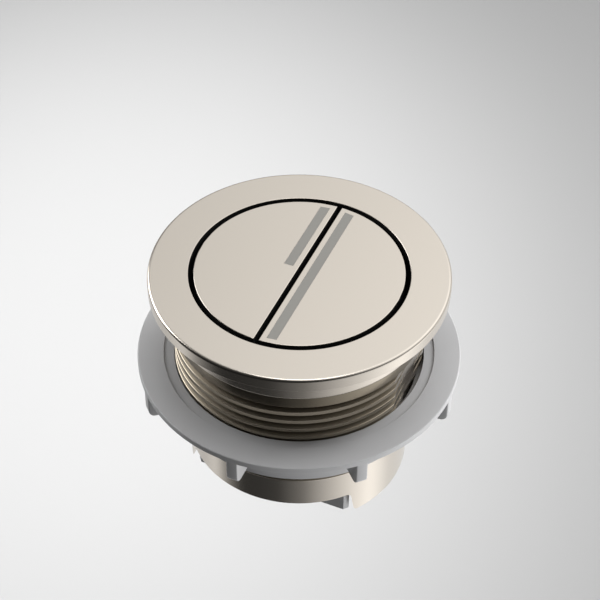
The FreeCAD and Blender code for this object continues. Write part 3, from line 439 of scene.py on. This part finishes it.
def lug():
    """A rib at +X between disc and hub: its outline in the radial plane has a rounded outer lower corner,
    and is carried across from -half to half. Near each face it draws in by e (1 - sin t) as it goes
    e (1 - cos t) across, which rounds its edges."""
    half, e = LUG_WIDE / 2, LUG_EDGE
    t = np.linspace(0, math.pi / 2, 4)
    across = np.concatenate([-half + e * (1 - np.cos(t)), half - e * (1 - np.cos(t[::-1]))])
    drawn_in = np.concatenate([e * (1 - np.sin(t)), e * (1 - np.sin(t[::-1]))])
    rows = []
    for inset in drawn_in:
        out, end = LUG_OUT - inset, LUG_END + inset
        outline = rounded([(LUG_IN, NUT_UNDER + LUG_SUNK, 0), (out, NUT_UNDER + LUG_SUNK, 0),
                           (out, end, LUG_ROUND - inset), (LUG_IN, end, 0)], steps=7)
        rows.append(back_to_start(outline))
    rows = np.stack(rows)
    middle = np.broadcast_to(rows[:, :-1].mean((0, 1)), (1,) + rows.shape[1:])
    rows = np.concatenate([middle, rows, middle])
    across = np.concatenate([across[:1], across, across[-1:]])
    return np.stack([rows[..., 0], np.broadcast_to(across[:, None], rows.shape[:2]), rows[..., 1]], -1)


disc = rounded([
    (NUT_BORE, RECESS_FLOOR, 0), (RECESS, RECESS_FLOOR, 0.1), (RECESS, NUT_TOP, 0.12), (DISC, NUT_TOP, 0.3),
    (DISC, NUT_UNDER, 0.25), (HUB, NUT_UNDER, 0.3), (HUB, NUT_BOTTOM, 0.25), (NUT_BORE, NUT_BOTTOM, 0),
], closed=False)
nut_levels = ridge_levels(NUT_START, NUT_TURNS, NUT_HALF_CREST, NUT_HALF_ROOT, NUT_EDGE)
nut_levels = np.unique(np.concatenate([[NUT_BOTTOM - PITCH], nut_levels, [RECESS_FLOOR]]))
nut_wall = wound(nut_radius, nut_levels, NUT_BOTTOM, RECESS_FLOOR, PITCH, around)
rib = lug()
lugs = [swung(rib, math.tau * k / LUGS) for k in range(LUGS)]
nut = piece("moulded_clamp_nut", [turned(disc, around), nut_wall] + lugs, "nut", ["clamp_nut"])


def moulded(name, low, high, rough, grain_mm, dent):
    """Injection moulded plastic: an even colour that shifts slowly over a few mm where the melt cooled
    at different rates, and the fine spark-eroded grain of the mould as bump and as uneven gloss."""
    material, shader, place = blank(name)
    slow = add(material, "ShaderNodeTexNoise", {"Scale": 1 / (14 * MM), "Detail": 2.0},
               {"Vector": (place, "Object")})
    grain = add(material, "ShaderNodeTexNoise", {"Scale": 1 / (grain_mm * MM), "Detail": 3.0},
                {"Vector": (place, "Object")})
    tint = add(material, "ShaderNodeMix", {"data_type": "RGBA", 6: linear(low), 7: linear(high)},
               {0: (slow, 0)})
    gloss = add(material, "ShaderNodeMapRange", {3: rough - 0.05, 4: rough + 0.05}, {0: (grain, 0)})
    bump = add(material, "ShaderNodeBump", {"Strength": dent, "Distance": 0.03 * MM}, {"Height": (grain, 0)})
    link(shader, {"Base Color": (tint, 2), "Roughness": (gloss, 0), "Normal": (bump, 0)})
    shader.inputs["IOR"].default_value = 1.5
    return material


grey_plastic = moulded("satin_grey_polypropylene", "BBBBBC", "C2C2C3", 0.38, 0.4, 0.1)
nut.data.materials.append(grey_plastic)


# Guide carrier: the insert that guides both plungers, moulded in the same grey plastic as the nut.
# It stands in the tube against the stop ring, and its arms hook into the windows.
def dress(node, material):
    """Give a CAD node one material."""
    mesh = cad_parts[node].data
    mesh.materials.clear()
    mesh.materials.append(material)


dress("guide_carrier", grey_plastic)

# Button caps: two half-moon ABS shells under the same plate as the bezel, split by a narrow slot.
# Each has a shallow place in its top for a flush bar of grey epoxy, a softly rounded upper edge, and two
# pegs under its ceiling that stand in the plunger.
CAP, SLOT_HALF, CAP_TOP, CAP_END, CAP_WALL, CEILING = 25.4, 0.625, 3.5, -4.5, 1.2, 1.9
MARK_NEAR, MARK_FAR, MARK_RADIUS, MARK_DEEP, SHORT_MARK_END = 2.025, 4.425, 24.1, 0.5, -0.8
CAP_EDGE, RIM_STRIP, MARK_EDGE = 0.15, 0.03, 0.02
PEG, PEG_X, PEG_Y, PEG_END, PEG_SUNK = 1.4, 12.0, 15.5, -0.3, 0.2
round_rod = np.linspace(0, math.tau, 25)


def cap(turn, mark_end):
    """A half-moon cap at +X, turned about Z. Its top is a grid: column x runs from -Y(x) to Y(x) with
    Y = sqrt(R^2 - x^2), and rows lie on the ends of the mark, whose place is lower by MARK_DEEP. The
    grid's rim is carried outwards and down as P + d n, with (d, z) a rounded wall profile. A long mark
    has no end of its own and runs to the radius MARK_RADIUS."""
    face = CAP_EDGE + RIM_STRIP
    top_radius = CAP - face
    x0 = SLOT_HALF + face
    bend = (1 - np.cos(np.linspace(0, math.pi / 2, 60))) ** 0.5
    x = np.unique(np.concatenate([
        np.linspace(x0, MARK_NEAR, 3), [MARK_NEAR + MARK_EDGE, MARK_FAR - MARK_EDGE],
        MARK_FAR + (top_radius - MARK_FAR) * bend,
    ]))
    x = np.append(x[x < top_radius - 0.002], top_radius - 0.001)
    rim = np.sqrt(top_radius ** 2 - x ** 2)
    mark = np.sqrt(MARK_RADIUS ** 2 - np.minimum(x, MARK_FAR) ** 2)
    inside = np.minimum(rim / np.sqrt(top_radius ** 2 - MARK_FAR ** 2), 1)
    low = -mark * inside
    high = (mark if mark_end is None else mark_end) * inside
    step = MARK_EDGE * inside
    y = np.stack([-rim, (low - rim) / 2, low, low + step, (low + high) / 2,
                  high - step, high, (rim + high) / 2, rim], 1)
    sunk = np.array([0, 0, 0, 1, 1, 1, 0, 0, 0])
    in_mark = ((x > MARK_NEAR + MARK_EDGE / 2) & (x < MARK_FAR - MARK_EDGE / 2))[:, None]
    top = np.stack([np.broadcast_to(x[:, None], y.shape), y, CAP_TOP - MARK_DEEP * in_mark * sunk], -1)

    edge = np.concatenate([top[:, -1], top[::-1, 0], top[0, 1:]])
    straight = np.abs(edge[:, 0] - x0) < 1e-6
    n = edge[:, :2] / top_radius
    n[straight] = (-1, 0)
    t = np.linspace(0, math.pi / 2, 5)
    d = np.concatenate([RIM_STRIP + CAP_EDGE * np.sin(t), [face, face, face - CAP_WALL, face - CAP_WALL]])
    z = np.concatenate([CAP_TOP - CAP_EDGE * (1 - np.cos(t)), [CAP_TOP - face, CAP_END, CAP_END, CEILING]])
    wall = np.empty((len(d), len(edge), 3))
    wall[..., :2] = edge[:, :2] + d[:, None, None] * n
    wall[..., 2] = z[:, None]
    longer = np.sqrt((top_radius + d) ** 2 - (x0 - d) ** 2) / rim[0]
    wall[:, straight, 1] = edge[straight, 1] * longer[:, None]
    ceiling = np.stack([wall[-1], np.broadcast_to([PEG_X, 0, CEILING], wall[-1].shape)])
    peg = turned(rounded([(0, CEILING + PEG_SUNK, 0), (PEG, CEILING + PEG_SUNK, 0),
                          (PEG, PEG_END, 0.3), (0, PEG_END, 0)], closed=False), round_rod)
    pegs = [peg + np.array([PEG_X, side * PEG_Y, 0]) for side in (-1, 1)]
    return [swung(grid, turn) for grid in [top, np.concatenate([edge[None], wall]), ceiling] + pegs]


def inside_cap(x, y, z):
    """Everything below the top and the upper edge."""
    return z < CAP_TOP - MARK_DEEP - 0.1


grey_fill = moulded("flush_grey_epoxy_fill", "86847F", "8C8A85", 0.45, 0.5, 0.1)
for button, turn, mark_end in (("full", 0, None), ("half", math.pi, SHORT_MARK_END)):
    shell = piece(button + "_plated_cap", cap(turn, mark_end),
                  button + "_button", [button + "_button_cap"])
    # Below its top and upper edge, each cap is painted black as shade in the slot and the gap
    finish(shell, (black_gap_shade, inside_cap))
    dress(button + "_button_mark", grey_fill)

# Plungers, lock nuts and rod tips: plain white acetal mouldings that only show from below.
# The plungers carry the caps, and the lock nuts and tips are screwed and pushed onto the rods.
acetal = moulded("natural_white_acetal", "E2E1DC", "E9E8E4", 0.35, 0.6, 0.1)
for button in ("full", "half"):
    for part in ("plunger", "lock_nut", "rod_tip"):
        dress(button + "_" + part, acetal)

# Push rods: white acetal studs with a fine metric thread, so that their length can be set.
# Each is screwed up into its plunger's stem and held there by the lock nut.
ROD, ROD_CORE, ROD_TOP, ROD_END, ROD_PITCH, ROD_PLAIN = 2.5, 2.15, -17.3, -68.0, 0.8, 0.8


def rod_radius(turn, s, z):
    """A round-bottomed thread: core + depth (1 + cos(360 degrees s / pitch)) / 2, plain at both ends."""
    wave = (1 + np.cos(math.tau * s / ROD_PITCH)) / 2
    fade = np.clip((z - ROD_END) / ROD_PLAIN, 0, 1) * np.clip((ROD_TOP - z) / ROD_PLAIN, 0, 1)
    return ROD_CORE + (ROD - ROD_CORE) * wave * fade


rod_step = ROD_PITCH / 6
rod_levels = np.arange(ROD_END - ROD_PITCH, ROD_TOP + rod_step, rod_step)
rod_wall = wound(rod_radius, rod_levels, ROD_END, ROD_TOP, ROD_PITCH, round_rod)
rod_ends = [turned(np.array([(0, z), (ROD_CORE, z)]), round_rod) for z in (ROD_TOP, ROD_END)]
for button, side in (("full", 1), ("half", -1)):
    grids = [grid + np.array([side * PEG_X, 0, 0]) for grid in [rod_wall] + rod_ends]
    rod = piece(button + "_threaded_rod", grids, button + "_button", [button + "_push_rod"])
    rod.data.materials.append(acetal)

# Return springs: stainless wire of 1.1 mm wound in five turns, from the carrier's plate to the plunger.
# The carrier holds their lower ends, so a press shortens them from the plunger downwards.
COIL, WIRE, COIL_TURNS, COIL_LOW, COIL_HIGH = 7.0, 0.55, 5, -13.2, -0.5


def coil(across):
    """A tube about a helix: centre C(t) = (R cos t, R sin t, low + rise t), and round it
    w (cos p N + sin p B) with N pointing outwards and B nearly upwards; both ends close to a point."""
    t = np.linspace(0, math.tau * COIL_TURNS, COIL_TURNS * 60 + 1)
    p = np.linspace(0, math.tau, 17)[:, None]
    rise = (COIL_HIGH - COIL_LOW) / t[-1]
    out = np.stack([np.cos(t), np.sin(t), 0 * t], -1)
    centre = COIL * out + np.stack([0 * t, 0 * t, COIL_LOW + rise * t], -1)
    up = np.stack([rise * np.sin(t), -rise * np.cos(t), np.full_like(t, COIL)], -1) / math.hypot(rise, COIL)
    tube = centre[:, None] + WIRE * (np.cos(p) * out[:, None] + np.sin(p) * up[:, None])
    first, last = (np.broadcast_to(centre[k], (1, len(p), 3)) for k in (0, -1))
    return np.concatenate([first, tube, last]) + np.array([across, 0, 0])


# Drawn stainless wire: bright grey, its gloss a little uneven from the die
wire, shader, place = blank("drawn_stainless_wire")
draw = add(wire, "ShaderNodeTexNoise", {"Scale": 1 / (0.5 * MM), "Detail": 2.0},
           {"Vector": (place, "Object")})
tint = add(wire, "ShaderNodeMix", {"data_type": "RGBA", 6: linear("B4B4B2"), 7: linear("C8C8C6")},
           {0: (draw, 0)})
gloss = add(wire, "ShaderNodeMapRange", {3: 0.2, 4: 0.35}, {0: (draw, 0)})
link(shader, {"Base Color": (tint, 2), "Roughness": (gloss, 0)})
shader.inputs["Metallic"].default_value = 1.0
for button, side in (("full", 1), ("half", -1)):
    spring = piece(button + "_return_coil", [coil(side * PEG_X)],
                   button + "_button", [button + "_spring"])
    spring.data.materials.append(wire)
    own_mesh(spring)

# Room: a pale floor well below the hanging rods with a painted pool of light, a sky that is bright from
# the right and behind and dark from the front left, and four soft boxes, of which the two at the right show
# in no reflection. A graded card just above the floor is unseen by the camera and gives the plate its light
# and dark bands.
FLOOR, CARD_LIFT, SHEET_REACH = -400.0, 2.0, 8000.0
VIEW_AZIMUTH, DARK_SIDE = math.radians(23), math.radians(46)
up = Vector((0, 0, 1))
right = Vector((math.cos(VIEW_AZIMUTH), math.sin(VIEW_AZIMUTH), 0))
near = Vector((math.sin(VIEW_AZIMUTH), -math.cos(VIEW_AZIMUTH), 0))
dark = near * math.cos(DARK_SIDE) - right * math.sin(DARK_SIDE)


def sheet(name, height):
    """A level square round the axis that isn't part of the object."""
    mesh = bpy.data.meshes.new(name)
    reach = SHEET_REACH * MM
    corners = [(x * reach, y * reach, height * MM) for x, y in ((-1, -1), (1, -1), (1, 1), (-1, 1))]
    mesh.from_pydata(corners, [], [(0, 1, 2, 3)])
    new = bpy.data.objects.new(name, mesh)
    bpy.context.scene.collection.objects.link(new)
    return new


# Matt floor with a painted pool of light: paler in an oval behind the object, as exp(-(distance in pool
# widths) ^ power)
POOL_CENTRE, POOL_WIDE, POOL_LONG, POOL_POWER = near * -0.396 - right * 0.124, 0.279, 0.398, 2.7
floor = sheet("floor", FLOOR)
paint, shader, place = blank("matt_pale_floor_with_painted_light_pool")
away = add(paint, "ShaderNodeVectorMath", {"operation": "SUBTRACT", 1: POOL_CENTRE},
           {0: (place, "Object")})
across = add(paint, "ShaderNodeVectorMath", {"operation": "DOT_PRODUCT", 1: right / POOL_WIDE},
             {0: (away, 0)})
along = add(paint, "ShaderNodeVectorMath", {"operation": "DOT_PRODUCT", 1: near / POOL_LONG},
            {0: (away, 0)})
oval = add(paint, "ShaderNodeCombineXYZ", {}, {"X": (across, "Value"), "Y": (along, "Value")})
widths = add(paint, "ShaderNodeVectorMath", {"operation": "LENGTH"}, {0: (oval, 0)})
bend = add(paint, "ShaderNodeMath", {"operation": "POWER", 1: POOL_POWER}, {0: (widths, "Value")})
pool = add(paint, "ShaderNodeMath", {"operation": "POWER", 0: math.exp(-1)}, {1: (bend, 0)})
tint = add(paint, "ShaderNodeMix", {"data_type": "RGBA", 6: linear("929292"), 7: linear("DADADA")},
           {0: (pool, 0)})
link(shader, {"Base Color": (tint, 2)})
shader.inputs["Roughness"].default_value = 0.9
shader.inputs["Specular IOR Level"].default_value = 0.0
floor.data.materials.append(paint)

# The card's light by compass angle from the camera's side, and its fall towards the dark side
CARD_LEVELS = ((-180, 0.75), (-115, 0.6), (-95, 0.85), (-80, 0.3), (-62, 0.04), (-20, 0.06),
               (5, 0.2), (50, 0.9), (80, 1.4), (110, 0.85), (180, 0.75))
CARD_PEAK, CARD_LOW, FADE_FROM, FADE_TO = 1.4, 0.1, 0.38, 0.88
card = sheet("graded_card", FLOOR + CARD_LIFT)
glow = bpy.data.materials.new("graded_card_light")
glow.use_nodes = True
glow.node_tree.nodes.remove(glow.node_tree.nodes["Principled BSDF"])
place = add(glow, "ShaderNodeTexCoord")
level = add(glow, "ShaderNodeVectorMath", {"operation": "MULTIPLY", 1: (1, 1, 0)}, {0: (place, "Object")})
way = add(glow, "ShaderNodeVectorMath", {"operation": "NORMALIZE"}, {0: (level, 0)})
across = add(glow, "ShaderNodeVectorMath", {"operation": "DOT_PRODUCT", 1: right}, {0: (way, 0)})
along = add(glow, "ShaderNodeVectorMath", {"operation": "DOT_PRODUCT", 1: near}, {0: (way, 0)})
compass = add(glow, "ShaderNodeMath", {"operation": "ARCTAN2"}, {0: (across, "Value"), 1: (along, "Value")})
share = add(glow, "ShaderNodeMapRange", {1: -math.pi, 2: math.pi}, {0: (compass, 0)})
grade = add(glow, "ShaderNodeValToRGB", {}, {"Fac": (share, 0)})
for k, (angle, light) in enumerate(CARD_LEVELS):
    spot = (angle + 180) / 360
    stop = grade.color_ramp.elements[k] if k < 2 else grade.color_ramp.elements.new(spot)
    stop.position, stop.color = spot, [light / CARD_PEAK] * 3 + [1]
toward = add(glow, "ShaderNodeVectorMath", {"operation": "DOT_PRODUCT", 1: dark}, {0: (way, 0)})
distance = add(glow, "ShaderNodeVectorMath", {"operation": "LENGTH"}, {0: (place, "Object")})
darkward = add(glow, "ShaderNodeMath", {"operation": "MULTIPLY"},
               {0: (distance, "Value"), 1: (toward, "Value")})
fading = add(glow, "ShaderNodeMapRange", {
    "interpolation_type": "SMOOTHSTEP", 1: FADE_FROM, 2: FADE_TO, 3: CARD_PEAK, 4: CARD_LOW,
}, {0: (darkward, 0)})
emission = add(glow, "ShaderNodeEmission", {}, {"Color": (grade, "Color"), "Strength": (fading, 0)})
clear = add(glow, "ShaderNodeBsdfTransparent")
sides = add(glow, "ShaderNodeNewGeometry")
shown = add(glow, "ShaderNodeMixShader", {}, {0: (sides, "Backfacing"), 1: (emission, 0), 2: (clear, 0)})
link(glow.node_tree.nodes["Material Output"], {"Surface": (shown, 0)})
card.data.materials.append(glow)
card.visible_camera = card.visible_shadow = False
card.visible_transmission = card.visible_volume_scatter = False

# The sky: low all round, and rising as (share of the way to the bright side) ^ power
SKY_LOW, SKY_GAIN, SKY_POWER, SKY_LIFT = 0.03, 1.5, 6, math.radians(48)
world = bpy.data.worlds.new("sky_bright_behind_and_right")
world.use_nodes = True
bright = -dark * math.cos(SKY_LIFT) + up * math.sin(SKY_LIFT)
way = add(world, "ShaderNodeTexCoord")
toward = add(world, "ShaderNodeVectorMath", {"operation": "DOT_PRODUCT", 1: bright}, {0: (way, "Generated")})
share = add(world, "ShaderNodeMapRange", {1: -1.0, 2: 1.0, 3: 0.0, 4: 1.0}, {0: (toward, "Value")})
curve = add(world, "ShaderNodeMath", {"operation": "POWER", 1: SKY_POWER}, {0: (share, 0)})
strength = add(world, "ShaderNodeMath", {"operation": "MULTIPLY_ADD", 1: SKY_GAIN, 2: SKY_LOW},
               {0: (curve, 0)})
background = world.node_tree.nodes["Background"]
background.inputs["Color"].default_value = linear("FFFFFF")
link(background, {"Strength": (strength, 0)})
bpy.context.scene.world = world

LAMP_TARGET = Vector((0, 0, -0.02))


def soft_box(name, place, size, power):
    """A square lamp that faces the middle of the object, in metres and watts."""
    light = bpy.data.lights.new(name, "AREA")
    light.shape, light.size, light.energy = "SQUARE", size, power
    holder = bpy.data.objects.new(name, light)
    holder.location = place
    holder.rotation_euler = (LAMP_TARGET - place).to_track_quat("-Z", "Y").to_euler()
    bpy.context.scene.collection.objects.link(holder)
    return holder


soft_box("soft_box_overhead", near * 0.04 + up * 1.5, 0.7, 3.5)
soft_box("soft_box_left", -right * 0.9 - near * 0.5 + up * 0.5, 0.8, 7.5)
soft_box("soft_box_right", right * 1.0 - near * 0.7 + up * 0.45, 0.8, 14.0).visible_glossy = False
soft_box("soft_box_low_right", right * 0.9 + near * 0.6 - up * 0.12, 0.45, 5.5).visible_glossy = False
bpy.context.scene.view_settings.view_transform = "Standard"

# Camera: a 100 mm lens 399 mm from the top face, looking down at 42.7 degrees from 23 degrees right of the
# split's front end and rolled by 0.4 degrees, so that the top's centre falls where it does in the photograph.
IMAGE, FOCAL_PX, CENTRE_U, CENTRE_V = 600, 1667.0, 299.4, 270.4
DISTANCE, ELEVATION, ROLL = 0.399, math.radians(42.7), math.radians(0.4)
camera = bpy.data.objects.new("camera", bpy.data.cameras.new("camera"))
bpy.context.scene.collection.objects.link(camera)
camera.data.sensor_width = 36.0
camera.data.lens = FOCAL_PX / IMAGE * camera.data.sensor_width
camera.data.clip_start, camera.data.clip_end = 0.01, 20.0
back = near * math.cos(ELEVATION) + up * math.sin(ELEVATION)
camera.location = up * BEZEL_TOP * MM + back * DISTANCE
pitch = ELEVATION + math.atan((IMAGE / 2 - CENTRE_V) / FOCAL_PX)
facing = -near * math.cos(pitch) - up * math.sin(pitch) + right * (IMAGE / 2 - CENTRE_U) / FOCAL_PX
camera.rotation_euler = (facing.to_track_quat("-Z", "Y") @ Quaternion((0, 0, 1), ROLL)).to_euler()
bpy.context.scene.camera = camera
